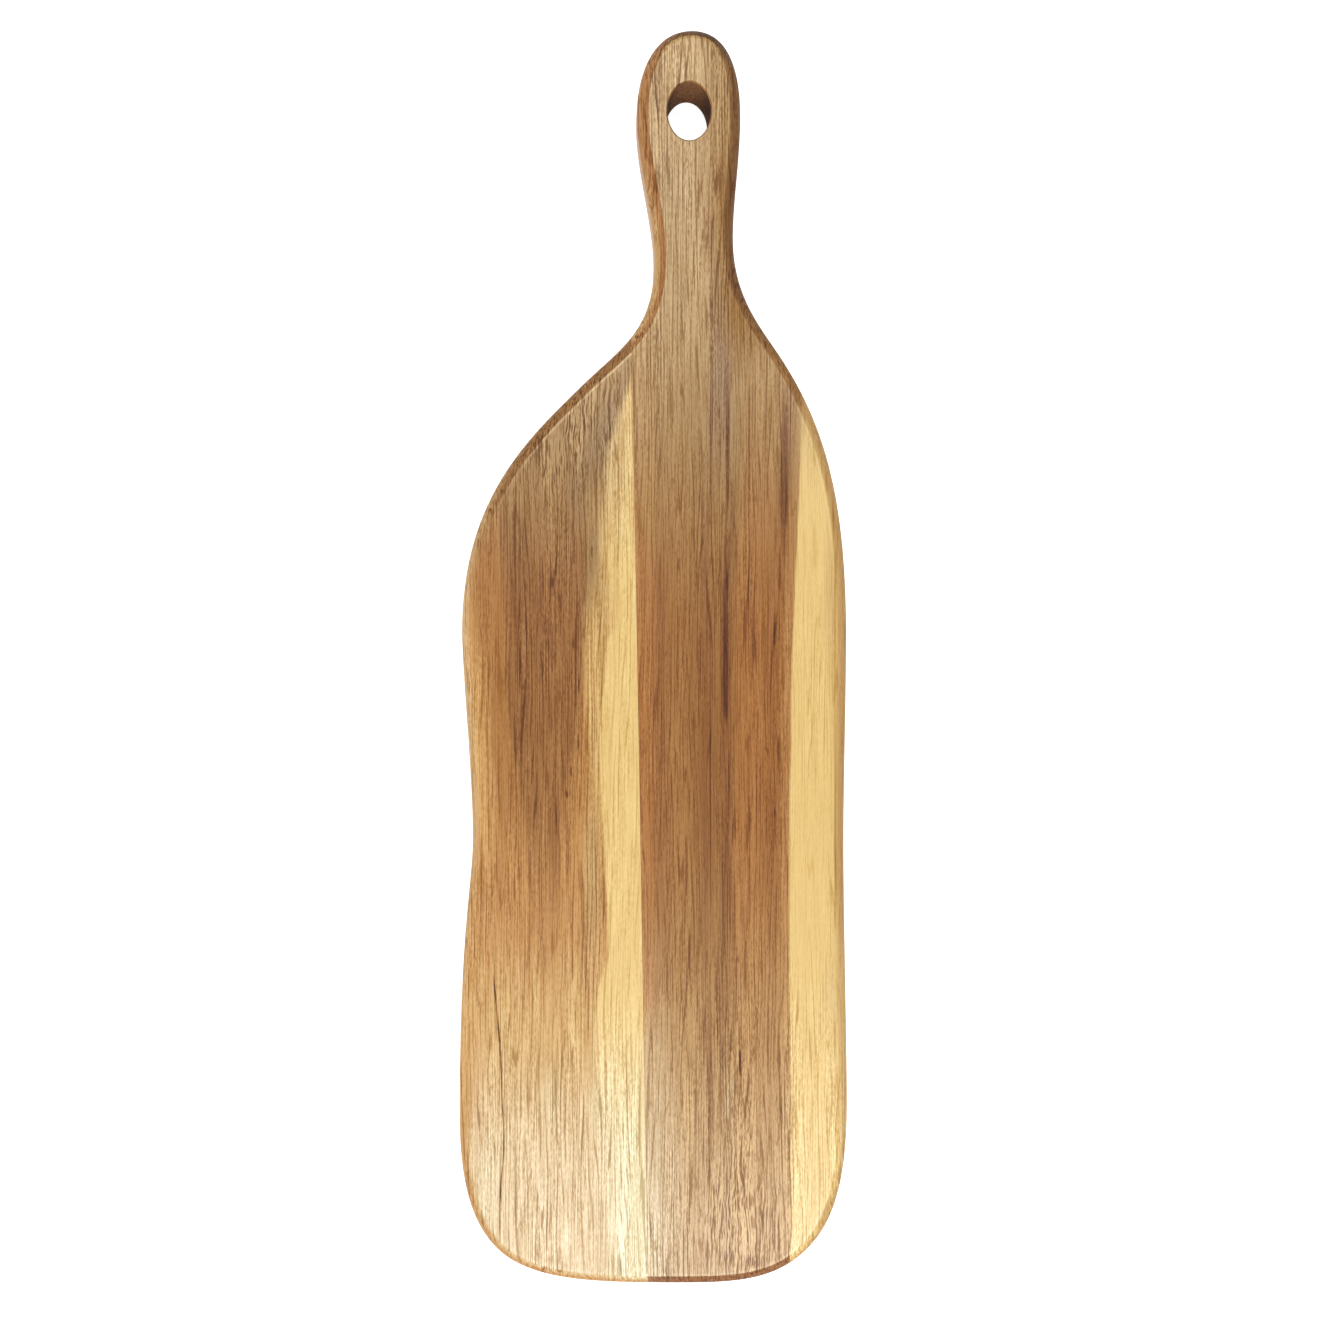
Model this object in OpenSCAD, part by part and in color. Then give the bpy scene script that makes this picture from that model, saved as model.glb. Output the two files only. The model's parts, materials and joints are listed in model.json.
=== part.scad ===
// Paddle serving board: two planks glued edge to edge, one of them running on into the handle.
// Millimetres. The board lies on its underside, with X across it, Y along it toward the handle
// and Z up. The origin is under the middle of the board.

/* [Board] */
// Overall length, from the foot to the end of the handle
board_l = 500; // [420:1:620]
// Overall width, across the widest part of the body
board_w = 155; // [130:1:200]
// Thickness of the planks
board_t = 15; // [12:0.5:24]
// Radius of the rounding along the top and bottom rims
rim_r = 4; // [1:0.25:5.5]
// How far the left edge draws in at the waist
waist_in_left = 5.3; // [0:0.1:12]
// How far the right edge draws in at the waist
waist_in_right = 1.4; // [0:0.1:12]

/* [Handle] */
// Width of the handle where it is widest
grip_w = 41.5; // [34:0.5:52]
// Width of the handle where it is narrowest
neck_w = 31.5; // [24:0.5:40]
// Distance from the end of the handle to its widest place
grip_drop = 34; // [26:0.5:44]
// Distance from the end of the handle to its narrowest place
neck_drop = 87; // [70:1:110]
// Distance from the middle of the board to the middle of the handle, to the right
handle_shift = 14.1; // [0:0.1:24]

/* [Hanging hole] */
// Width of the oval hole
hole_w = 17.2; // [10:0.1:22]
// Length of the oval hole
hole_l = 23; // [12:0.1:30]
// Distance from the end of the handle to the middle of the hole
hole_drop = 33.7; // [24:0.1:44]

/* [Glue joint] */
// Distance from the middle of the board to the joint, to the left, at half length
joint_shift = 6.5; // [0:0.1:14]
// Lean of the joint to the left, toward the handle, in degrees
joint_lean = 1; // [0:0.1:2]
// Thickness of the cured glue between the planks
glue_t = 0.2; // [0.1:0.05:0.5]

/* [Hidden] */

heartwood = "#8c5c38";
sapwood = "#c79a63";
amber = "#5a3a20";

// Length by which cutting shapes run past the faces they cut
overrun = board_t;

half_l = board_l / 2;
half_w = board_w / 2;
body_l = board_l - neck_drop;
neck_y = half_l - neck_drop;
grip_y = half_l - grip_drop;

// Facets along each stretch of the edge, across each rim rounding and round the hole
stretch_steps = 12;
rim_steps = 5;
hole_facets = 96;

// In the pairs below the first value is for the left edge and the second for the right edge.
// Places of the corners, in from the side and up from the foot, as shares of half the width
corner_in_shares = [0.19, 0.205];
corner_up_shares = [0.18, 0.175];
// Heights above the foot of the hip, waist and belly, as shares of the body's length
hip_up_shares = [0.165, 0.175];
waist_up_shares = [0.43, 0.425];
belly_up_shares = [0.63, 0.625];
// Reach of the belly to the side, as shares of half the width
belly_out_shares = [0.987, 0.996];
// Place of the shoulder between neck and belly, as shares of the way out and of the way down
shoulder_out_shares = [0.37, 0.35];
shoulder_down_shares = [0.335, 0.27];
// Direction of travel at the corner and at the shoulder, going up, in degrees
corner_headings = [135, 45];
shoulder_headings = [44.5, 125];
// The lowest point of the foot, to the right of the middle, as a share of half the width
foot_shift_share = 0.155;
// The neck and the end of the handle, to the right of the handle's middle, as shares of the grip's width
neck_shift_share = 0.05;
tip_shift_share = 0.03;
// The neck's left side sits lower and its right side higher than the middle, as a share of its distance
neck_skew_share = 0.05;

// Reach of the curve's handles on leaving one place and on coming to the next, as shares of the way
// between the two, from the foot by way of corner, hip, waist, belly, shoulder, neck and grip to the tip
left_reach_shares = [
    [0.43, 0.26],
    [0.28, 0.45],
    [0.66, 0.16],
    [0.31, 0.20],
    [0.49, 0.27],
    [0.36, 0.50],
    [0.30, 0.32],
    [0.43, 0.38]
];
right_reach_shares = [
    [0.42, 0.34],
    [0.27, 0.48],
    [0.20, 0.26],
    [0.28, 0.27],
    [0.47, 0.30],
    [0.31, 0.43],
    [0.31, 0.36],
    [0.53, 0.35]
];

stretches = len(left_reach_shares);
edge_steps = stretches * stretch_steps;
ring_size = 2 * edge_steps;

function side_index(side) = side < 0 ? 0 : 1;
function waist_in(side) = side < 0 ? waist_in_left : waist_in_right;
function reach_shares(side) = side < 0 ? left_reach_shares : right_reach_shares;

// Places that one edge passes through, from the foot to the tip, with the direction of travel at each
function foot_place() = [foot_shift_share * half_w, -half_l];
function corner_place(side, k) = [
    side * half_w * (1 - corner_in_shares[k]),
    corner_up_shares[k] * half_w - half_l
];
function hip_place(side, k) = [side * half_w, hip_up_shares[k] * body_l - half_l];
function waist_place(side, k) = [side * (half_w - waist_in(side)), waist_up_shares[k] * body_l - half_l];
function belly_place(side, k) = [side * half_w * belly_out_shares[k], belly_up_shares[k] * body_l - half_l];
function neck_place(side) = [
    handle_shift + neck_shift_share * grip_w + side * neck_w / 2,
    neck_y + side * neck_skew_share * neck_drop
];
function shoulder_place(side, k) =
    let (neck = neck_place(side), way = belly_place(side, k) - neck)
    neck + [shoulder_out_shares[k] * way.x, shoulder_down_shares[k] * way.y];
function grip_place(side) = [handle_shift + side * grip_w / 2, grip_y];
function tip_place() = [handle_shift + tip_shift_share * grip_w, half_l];

function edge_places(side) = let (k = side_index(side)) [
    foot_place(),
    corner_place(side, k),
    hip_place(side, k),
    waist_place(side, k),
    belly_place(side, k),
    shoulder_place(side, k),
    neck_place(side),
    grip_place(side),
    tip_place()
];
function edge_headings(side) = let (k = side_index(side)) [
    side < 0 ? 180 : 0,
    corner_headings[k],
    90,
    90,
    90,
    shoulder_headings[k],
    90,
    90,
    side < 0 ? 0 : 180
];

function toward(angle) = [cos(angle), sin(angle)];

// The four control points of one stretch of an edge
function stretch_controls(side, s) =
    let (places = edge_places(side), headings = edge_headings(side), reach = reach_shares(side)[s])
    let (a = places[s], b = places[s + 1], way = norm(b - a))
    [a, a + reach[0] * way * toward(headings[s]), b - reach[1] * way * toward(headings[s + 1]), b];

function bezier(c, t) =
    pow(1 - t, 3) * c[0] + 3 * t * pow(1 - t, 2) * c[1] + 3 * t * t * (1 - t) * c[2] + pow(t, 3) * c[3];
function bezier_heading(c, t) =
    pow(1 - t, 2) * (c[1] - c[0]) + 2 * t * (1 - t) * (c[2] - c[1]) + t * t * (c[3] - c[2]);

// One edge as pairs of a point and the direction into the wood there
function edge_line(side) = [
    for (i = [0:edge_steps])
        let (s = min(floor(i / stretch_steps), stretches - 1), t = i / stretch_steps - s)
        let (c = stretch_controls(side, s), h = bezier_heading(c, t))
        [bezier(c, t), side * [-h.y, h.x] / norm(h)]
];
left_line = edge_line(-1);
right_line = edge_line(1);

// Once round the board: up the left edge and down the right edge, drawn in by the given inset
function ring(inset) = concat(
    [for (p = left_line) p[0] + inset * p[1]],
    [for (i = [edge_steps - 1:-1:1]) right_line[i][0] + inset * right_line[i][1]]
);

// Inset and height of each ring, up round the bottom rim and then in round the top rim
function rim_inset(i) = rim_r * (1 - sin(90 * i / rim_steps));
function rim_height(i) = rim_r * (1 - cos(90 * i / rim_steps));
levels = concat(
    [for (i = [0:rim_steps]) [rim_inset(i), rim_height(i)]],
    [for (i = [rim_steps:-1:0]) [rim_inset(i), board_t - rim_height(i)]]
);
top_level = len(levels) - 1;

function at(level, i) = level * ring_size + (i % ring_size);
function left_at(level, i) = at(level, i);
function right_at(level, i) = at(level, ring_size - i);

function side_faces() = [
    for (v = [0:top_level - 1])
        for (i = [0:ring_size - 1])
            for (f = [
                [at(v, i), at(v, i + 1), at(v + 1, i + 1)],
                [at(v, i), at(v + 1, i + 1), at(v + 1, i)]
            ])
                f
];
// A flat face as a ladder of triangles, one rung at each step from the foot to the tip
function ladder(level) = concat(
    [for (i = [0:edge_steps - 2]) [left_at(level, i), left_at(level, i + 1), right_at(level, i + 1)]],
    [for (i = [1:edge_steps - 1]) [left_at(level, i), right_at(level, i + 1), right_at(level, i)]]
);
function turned(faces) = [for (f = faces) [f[2], f[1], f[0]]];

// The whole board before it is parted along the joint
module blank() {
    polyhedron(
        points = [for (lv = levels) for (p = ring(lv[0])) [p.x, p.y, lv[1]]],
        faces = concat(side_faces(), ladder(top_level), turned(ladder(0)))
    );
}

// A block from one distance beside the joint to another, from past the foot up to the neck
module beside_joint(from, to) {
    translate([-joint_shift, 0, -overrun])
        rotate(joint_lean)
            translate([from, -half_l - overrun, 0])
                cube([to - from, body_l + overrun, board_t + 2 * overrun]);
}

module hanging_hole() {
    translate([handle_shift, half_l - hole_drop, -overrun])
        scale([hole_w / 2, hole_l / 2, 1])
            cylinder(r = 1, h = board_t + 2 * overrun, $fn = hole_facets);
}

module left_stave() {
    color(sapwood)
        intersection() {
            blank();
            beside_joint(-board_w, -glue_t / 2);
        }
}

module handle_stave() {
    color(heartwood)
        difference() {
            blank();
            beside_joint(-board_w, glue_t / 2);
            hanging_hole();
        }
}

module glue_line() {
    color(amber)
        intersection() {
            blank();
            beside_joint(-glue_t / 2, glue_t / 2);
        }
}

left_stave();
handle_stave();
glue_line();
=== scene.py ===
# Looks of the paddle serving board: finer meshes of its planks and glue line, oiled wood, light and camera.
# Metres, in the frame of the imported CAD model. Inside the wood's nodes lengths are in millimetres.
import json
import math

import bmesh
import bpy
import numpy as np
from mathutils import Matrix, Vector


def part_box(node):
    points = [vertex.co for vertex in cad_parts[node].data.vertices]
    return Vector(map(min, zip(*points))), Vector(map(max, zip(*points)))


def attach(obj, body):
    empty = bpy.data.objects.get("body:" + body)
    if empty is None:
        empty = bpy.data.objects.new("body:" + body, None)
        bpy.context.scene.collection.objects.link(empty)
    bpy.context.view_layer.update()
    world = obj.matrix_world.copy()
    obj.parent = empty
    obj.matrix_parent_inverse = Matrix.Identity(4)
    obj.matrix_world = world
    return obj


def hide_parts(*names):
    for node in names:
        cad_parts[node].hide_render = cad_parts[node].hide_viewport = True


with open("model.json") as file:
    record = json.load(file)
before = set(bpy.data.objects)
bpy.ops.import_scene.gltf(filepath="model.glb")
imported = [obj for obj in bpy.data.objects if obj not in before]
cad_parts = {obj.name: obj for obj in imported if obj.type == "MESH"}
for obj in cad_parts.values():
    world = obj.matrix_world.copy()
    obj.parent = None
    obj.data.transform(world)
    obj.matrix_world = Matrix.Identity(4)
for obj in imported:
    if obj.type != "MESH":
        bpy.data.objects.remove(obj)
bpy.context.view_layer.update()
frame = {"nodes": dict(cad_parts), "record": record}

MM = 0.001

LEFT, HANDLE, GLUE = "left_stave", "handle_stave", "glue_line"
STAVES = (LEFT, HANDLE)

# Mesh fineness: steps round the outline, on each stretch between two CAD points, and round the hole
OUTLINE_STEPS = 760
STRETCH_STEPS = 25
HOLE_STEPS = 144
# Steps across each rounding, the easing of the hole's edges, and the flat ledge beside each rounding
RIM_STEPS = 9
EASE_STEPS = 3
HOLE_EASE = 0.35 * MM
LEDGE = 1.1 * MM
# The worn rim: how much further in than down its rounding goes, and the slight break where it starts
RIM_REACH = 1.17
RIM_BREAK = math.radians(20)
# Distance within which places are the same, digits to which metres are rounded, and angle that stays sharp
SAME_PLACE = 0.002 * MM
DIGITS = 6
SHARP_ANGLE = math.radians(40)


# Shapes taken from the frame

def node_points(name):
    """Places of a CAD node's vertices, one row each."""
    return np.array([v.co for v in frame["nodes"][name].data.vertices])


def rim_radius():
    """The rounding's radius: the foot of the upright wall, which is the widest gap between heights."""
    heights = np.unique(np.round(node_points(LEFT)[:, 2], DIGITS))
    return heights[np.argmax(np.diff(heights))]


def plan_at(names, height):
    """Places in plan of the vertices at one height, each once."""
    points = np.vstack([node_points(n) for n in names])
    level = points[np.abs(points[:, 2] - height) < SAME_PLACE, :2]
    return np.unique(np.round(level, DIGITS), axis=0)


def walk_round(points):
    """The same points in order along the line they lie on, counterclockwise."""
    order, left = [0], set(range(1, len(points)))
    while left:
        gaps = {i: np.hypot(*(points[i] - points[order[-1]])) for i in left}
        order.append(min(gaps, key=gaps.get))
        left.remove(order[-1])
    ring = points[order]
    x, y = ring.T
    turning = np.sum(x * np.roll(y, -1) - y * np.roll(x, -1))
    return ring if turning > 0 else ring[::-1]


def smooth_round(points, steps):
    """A smooth closed curve through the points, at even steps."""
    ahead, behind = np.roll(points, -1, 0), np.roll(points, 1, 0)
    gap = np.linalg.norm(ahead - points, axis=1)[:, None]
    gap_behind = np.roll(gap, 1, 0)
    slope = (ahead - points) / gap * gap_behind + (points - behind) / gap_behind * gap
    slope = slope / (gap + gap_behind)
    start, end = slope * gap, np.roll(slope, -1, 0) * gap
    t = np.linspace(0, 1, STRETCH_STEPS, endpoint=False)[None, :, None]
    p, q, a, b = points[:, None], ahead[:, None], start[:, None], end[:, None]
    fine = p + t * a + t**2 * (3 * (q - p) - 2 * a - b) + t**3 * (2 * (p - q) + a + b)
    fine = np.vstack([fine.reshape(-1, 2), points[:1]])
    way = np.concatenate([[0], np.cumsum(np.linalg.norm(np.diff(fine, axis=0), axis=1))])
    even = np.linspace(0, way[-1], steps, endpoint=False)
    return np.column_stack([np.interp(even, way, fine[:, k]) for k in (0, 1)])


def inward(ring):
    """Unit vectors into the area that a counterclockwise ring goes round."""
    along = np.roll(ring, -1, 0) - np.roll(ring, 1, 0)
    along = along / np.linalg.norm(along, axis=1)[:, None]
    return np.column_stack([-along[:, 1], along[:, 0]])


def rounding(reach, height, steps):
    """Inset and height of each step of a rounding, which leaves a flat face with a slight break."""
    turns = np.linspace(RIM_BREAK, math.pi / 2, steps + 1)
    first_in, first_up = math.sin(RIM_BREAK), math.cos(RIM_BREAK)
    insets = [reach * (1 - math.sin(a)) / (1 - first_in) for a in turns]
    heights = [height * (1 - math.cos(a) / first_up) for a in turns]
    return list(zip(insets, heights))


def wall_profile(reach, rise, thickness, steps):
    """Inset and height from the underside's ledge, round and up the wall, to the top's ledge."""
    low = [(reach + LEDGE, 0)] + rounding(reach, rise, steps)
    return low + [(inset, thickness - height) for inset, height in reversed(low)]


def oval(centre, half_width, half_length):
    """Points round an oval in plan."""
    turns = np.linspace(0, 2 * math.pi, HOLE_STEPS, endpoint=False)
    return centre + np.column_stack([half_width * np.cos(turns), half_length * np.sin(turns)])


def hanging_hole():
    """Centre and half sizes of the oval hole, from the record."""
    mount = next(m for m in frame["record"]["mounts"] if m["name"] == "hanging_hole")
    half_width = mount["dims"]["hole_r_mm"] * MM
    half_length = mount["dims"]["slot_length_mm"] * MM / 2
    return np.array(mount["pos_m"][:2]), half_width, half_length


def wall_outline(height):
    """The board's outline, smooth and evenly stepped, without the ends of the glue line."""
    ring, ends = plan_at(STAVES, height), plan_at((GLUE,), height)
    clear = np.linalg.norm(ring[:, None] - ends[None], axis=2).min(axis=1) > SAME_PLACE
    return smooth_round(walk_round(ring[clear]), OUTLINE_STEPS)


def joint_planes():
    """The glue line's left and right faces, each as a point on it and its direction to the right."""
    ends = plan_at((GLUE,), rim_radius())
    foot, shoulder = ends[np.argsort(ends[:, 1])].reshape(2, 2, 2)
    planes = []
    for pick in (np.argmin, np.argmax):
        low, high = foot[pick(foot[:, 0])], shoulder[pick(shoulder[:, 0])]
        along = (high - low) / np.linalg.norm(high - low)
        planes.append(((*low, 0), np.array([along[1], -along[0], 0])))
    return planes


# Meshes of the board and its parting along the glue line

def add_loop(mesh, points, height):
    return [mesh.verts.new((x, y, height)) for x, y in points]


def add_wall(mesh, loops):
    """Bands of faces from each loop to the next."""
    for low, high in zip(loops, loops[1:]):
        for i in range(len(low)):
            j = (i + 1) % len(low)
            mesh.faces.new((low[i], low[j], high[j], high[i]))


def fill_flat(mesh, loops):
    """Triangles over the flat area between an outer loop and a hole in it."""
    edges = [mesh.edges.get((loop[i - 1], loop[i])) for loop in loops for i in range(len(loop))]
    bmesh.ops.triangle_fill(mesh, use_beauty=True, edges=edges)


def board_blank(thickness):
    """The whole board with its rounded rims and eased hole, before it is parted."""
    mesh = bmesh.new()
    radius = rim_radius()
    outline = wall_outline(radius)
    into = inward(outline)
    rims = [
        add_loop(mesh, outline + inset * into, height)
        for inset, height in wall_profile(RIM_REACH * radius, radius, thickness, RIM_STEPS)
    ]
    centre, half_width, half_length = hanging_hole()
    hole = [
        add_loop(mesh, oval(centre, half_width + out, half_length + out), height)
        for out, height in wall_profile(HOLE_EASE, HOLE_EASE, thickness, EASE_STEPS)
    ]
    add_wall(mesh, rims)
    add_wall(mesh, hole)
    for k in (0, -1):
        fill_flat(mesh, (rims[k], hole[k]))
    bmesh.ops.recalc_face_normals(mesh, faces=mesh.faces)
    return mesh


def cut_away(mesh, plane, side):
    """Removes what lies to one side of a plane, 1 for right and -1 for left, and closes the cut."""
    point, right = plane
    cut = bmesh.ops.bisect_plane(
        mesh,
        geom=mesh.verts[:] + mesh.edges[:] + mesh.faces[:],
        dist=SAME_PLACE,
        plane_co=point,
        plane_no=side * right,
        clear_outer=True,
    )
    edges = [e for e in cut["geom_cut"] if isinstance(e, bmesh.types.BMEdge)]
    bmesh.ops.edgeloop_fill(mesh, edges=edges)
    bmesh.ops.recalc_face_normals(mesh, faces=mesh.faces)


def add_piece(name, blank, cuts, material):
    """One named piece of the blank, standing for the CAD node of that name."""
    mesh = blank.copy()
    for plane, side in cuts:
        cut_away(mesh, plane, side)
    data = bpy.data.meshes.new(name)
    mesh.to_mesh(data)
    mesh.free()
    data.shade_smooth()
    data.set_sharp_from_angle(angle=SHARP_ANGLE)
    data.materials.append(material)
    piece = bpy.data.objects.new(f"{name}_wood" if name in STAVES else f"{name}_film", data)
    bpy.context.scene.collection.objects.link(piece)
    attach(piece, "root")
    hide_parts(name)


# Node writing

def colour(text):
    """A colour written as six hex digits, as it looks on screen, in the linear values that sockets take."""
    parts = [int(text[k:k + 2], 16) / 255 for k in (0, 2, 4)]
    return (*[c / 12.92 if c <= 0.04045 else ((c + 0.055) / 1.055) ** 2.4 for c in parts], 1)


class Field:
    """A number or colour that varies over the surface, as a node puts it out."""

    def __init__(self, nodes, socket):
        self.nodes, self.socket = nodes, socket

    def __add__(self, other):
        return self.nodes.math("ADD", self, other)

    def __sub__(self, other):
        return self.nodes.math("SUBTRACT", self, other)

    def __rsub__(self, other):
        return self.nodes.math("SUBTRACT", other, self)

    def __mul__(self, other):
        return self.nodes.math("MULTIPLY", self, other)

    def __abs__(self):
        return self.nodes.math("ABSOLUTE", self)


class Nodes:
    """The nodes of a material or a world. Most methods add one node and return what comes out of it."""

    def __init__(self, tree):
        self.tree = tree

    def feed(self, socket, value):
        if isinstance(value, Field):
            self.tree.links.new(value.socket, socket)
        else:
            socket.default_value = value

    def add(self, kind, feeds, out=0, **settings):
        node = self.tree.nodes.new("ShaderNode" + kind)
        for name, value in settings.items():
            setattr(node, name, value)
        for key, value in feeds.items():
            self.feed(node.inputs[key], value)
        return Field(self, node.outputs[out])

    def math(self, operation, *values):
        return self.add("Math", dict(enumerate(values)), operation=operation)

    def parts(self, vector):
        node = self.add("SeparateXYZ", {0: vector}).socket.node
        return [Field(self, node.outputs[k]) for k in range(3)]

    def join(self, x, y, z):
        return self.add("CombineXYZ", {0: x, 1: y, 2: z})

    def ramp(self, value, start, end, low=0.0, high=1.0, kind="LINEAR"):
        """Goes evenly from low where value is at start to high where it is at end."""
        feeds = {"Value": value, "From Min": start, "From Max": end, "To Min": low, "To Max": high}
        return self.add("MapRange", feeds, interpolation_type=kind)

    def ease(self, value, start, end, low=0.0, high=1.0):
        """Goes smoothly from low where value is at start to high where it is at end."""
        return self.ramp(value, start, end, low, high, "SMOOTHSTEP")

    def blend(self, first, second, share):
        """Number first with a share of second in its place."""
        return first + (second - first) * share

    def noise(self, place, detail=2.0, roughness=0.5):
        """Cloudy noise about a half, one swell to each unit of place."""
        feeds = {"Vector": place, "Scale": 1.0, "Detail": detail, "Roughness": roughness}
        return self.add("TexNoise", feeds)

    def mix(self, share, first, second):
        """Colour first with a share of second over it."""
        return self.add("Mix", {0: share, 6: first, 7: second}, out=2, data_type="RGBA")

    def bands(self, value, stops):
        """Colour by value, from (value, colour) stops in rising order."""
        low, high = stops[0][0], stops[-1][0]
        made = self.add("ValToRGB", {0: self.ramp(value, low, high)})
        ramp = made.socket.node.color_ramp
        while len(ramp.elements) < len(stops):
            ramp.elements.new(0.5)
        for element, (place, tone) in zip(ramp.elements, stops):
            element.position = (place - low) / (high - low)
        for element, (place, tone) in zip(ramp.elements, stops):
            element.color = tone
        return made

    def line(self, value, points):
        """A smooth line through (value, height) points in rising order."""
        xs, hs = zip(*points)
        low, high, floor, top = xs[0], xs[-1], min(hs), max(hs)
        made = self.add("FloatCurve", {"Value": self.ramp(value, low, high)})
        mapping = made.socket.node.mapping
        curve = mapping.curves[0]
        places = [((x - low) / (high - low), (h - floor) / (top - floor)) for x, h in points]
        curve.points[0].location, curve.points[-1].location = places[0], places[-1]
        for place in places[1:-1]:
            curve.points.new(*place)
        mapping.update()
        return made * (top - floor) + floor


class Shader(Nodes):
    """A material's nodes."""

    def __init__(self, name):
        self.material = bpy.data.materials.new(name)
        self.material.use_nodes = True
        super().__init__(self.material.node_tree)
        self.bsdf = self.tree.nodes["Principled BSDF"]

    def surface(self, name, value):
        """A socket of the shader itself."""
        self.feed(self.bsdf.inputs[name], value)


# Tones of the wood and the glue, as they look under plain light; some rim and hole tones carry painted
# light and shade

RUST = colour("b07339")
TAWNY = colour("9d6531")
HAZEL = colour("a36d35")
DUN = colour("9b662f")
UMBER = colour("8f5926")
COPPER = colour("a96d33")
RUSSET = colour("a0652c")
OCHRE = colour("b27b40")
UPPER_TAN = colour("aa8545")
HANDLE_GOLD = colour("b99050")
HANDLE_BROWN = colour("986b32")
MAUVE = colour("885f38")
SAP_TAN = colour("c0955a")
SAP_RIM = colour("d4ae72")
FOOT_GOLD = colour("c49a55")
FOOT_PALE = colour("d0b382")
SAP = colour("eeca80")
AMBER = colour("b27a3d")
HONEY = colour("bd8646")
LOW_HONEY = colour("c58d4e")
EDGE_TAN = colour("d5a260")
BROWN = colour("97622e")
OLIVE = colour("bd9659")
SMOKE = colour("a67d44")
DARK_SMOKE = colour("8f6a3c")
WEDGE_TAN = colour("cda66a")
GOLD = colour("d5a965")
WHEAT = colour("dcbd8a")
PALE_SAP = colour("e9dbac")
ROSE = colour("c8a47a")
RIM_RUST = colour("a36b38")
# Painted shade over the brown wood: tone of the handle's right-facing rims
SHADED_RIM_BROWN = colour("744b22")
RIM_OCHRE = colour("90602d")
# Painted shade: tone of the right-facing rims below the handle
SHADED_RIM_RUSSET = colour("966733")
RIM_TAN = colour("cfa772")
# Painted sheen: pale of the steep outer rims that face left
SHEEN_RIM_PALE = colour("c0965f")
RIM_GOLD = colour("bf8c4e")
FOOT_RIM = colour("824c1c")
# Painted shade with dark end grain: the right side of the tip's rim
TIP_SHADE_BROWN = colour("48280a")
STREAK = colour("34201a")
# The hole's wall: brown end grain, painted lighter where lit and darker as shade at its sides
HOLE_LIT_BROWN = colour("8a5f3e")
HOLE_SHADE_BROWN = colour("4f2f1a")
GLUE_DARK = colour("9c6a3c")
GLUE_PALE = colour("c8965a")
# Cured glue: clouds to each metre, and roughness of dark and pale ones
GLUE_CLOUDS = (150, 60, 400)
GLUE_ROUGHNESS = (0.35, 0.55)

# Grain: width and length of one swell in mm, and how much it darkens
BROAD_GRAIN = (5.0, 300.0, 0.24)
RING_GRAIN = (1.8, 120.0, 0.62)
LINE_GRAIN = (2.4, 60.0, 0.26)
FIBRE_GRAIN = (0.5, 24.0, 0.36)
FLECK_GRAIN = (0.4, 2.2, 1.2)
PORE_GRAIN = (0.8, 8.0, 0.6)
# Shares of the surface that pores and thin lines cover, taken off so that the grain is about zero
PORE_COVER = 0.15
LINE_COVER = 0.12
# Usual lows and highs of the cloudy noise, and how rough the fibres are
NOISE_SPREAD = (0.38, 0.62)
FIBRE_ROUGHNESS = 0.55
# Thin lines: how far off the middle of the noise they end, and where they are full
LINE_EDGE = (0.03, 0.006)
# Growth rings: width of a sway and how far it goes, both in spacings, and a line's edge and core
RING_SWAY = (3.5, 7.0)
RING_EDGE = (0.18, 0.04)
# Breaks in the rings: width and length as shares of the ring's, and the noise where a line is gone and full
RING_BREAK = (0.7, 0.3)
RING_COMES = (0.4, 0.58)
# A pore's edge and core, as shares of its cell
PORE_EDGE = (0.45, 0.2)
# Stretches of stronger and weaker grain: width and length in mm, and the least and most strength
GRAIN_CHANGE = (9.0, 70.0, 0.65, 1.35)
# Cut fibre ends of the rims and the hole: width and length in mm, detail and roughness
MOTTLE = (1.2, 2.0, 3.0, 0.6)
# How much of the grain and the fibre ends is lost on the walls
WALL_CALM = 0.75
# How much a pale line lightens where a dark line of the same depth darkens by 1
LIGHTENING = 0.55
# How much more a dark line takes from red, green and blue
LINE_TAKES = (1.0, 1.5, 2.6)
# The same for the mottled fibre ends of the rims
RIM_TAKES = (1.0, 1.25, 1.7)
# Drift: length of one bend in mm, bends to each mm across, and how far bands and streaks go in mm
DRIFT_LENGTH = 120.0
DRIFT_TURN = 0.012
BAND_DRIFT = 1.6
TRACK_DRIFT = 0.6
# Wander of single lines: width and length of one bend in mm, and how far it sways
WANDER = (4.0, 28.0, 0.55)
# Width and length of one bend of the curly grain in mm, and how far it sways, and the oval's core
CURL = (8.0, 11.0, 2.6)
CURL_CORE = 0.25
# Places in the noise, so that planks and bends differ
HANDLE_SEED = 3.7
LEFT_SEED = 11.3
WANDER_SEED = 2.0
CURL_SEED = 5.0
# How far the bands lean to the side with each mm of depth
RING_LEAN = 0.25
# Streaks and patches: their cores as shares of their half sizes, and the length of a bar's soft end in mm
STREAK_CORE = 0.35
PATCH_CORE = 0.1
BAR_CORE = 0.7
BAR_END = 9.0
# How much a streak deepens the wood's own colour, and how much it blackens it
STREAK_STAIN = 0.9
STREAK_BLACK = 0.9

# Upright part of the normal where each mask starts and where it is full, and the corner's least and most
RIM_LEVEL = (0.992, 0.981)
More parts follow.
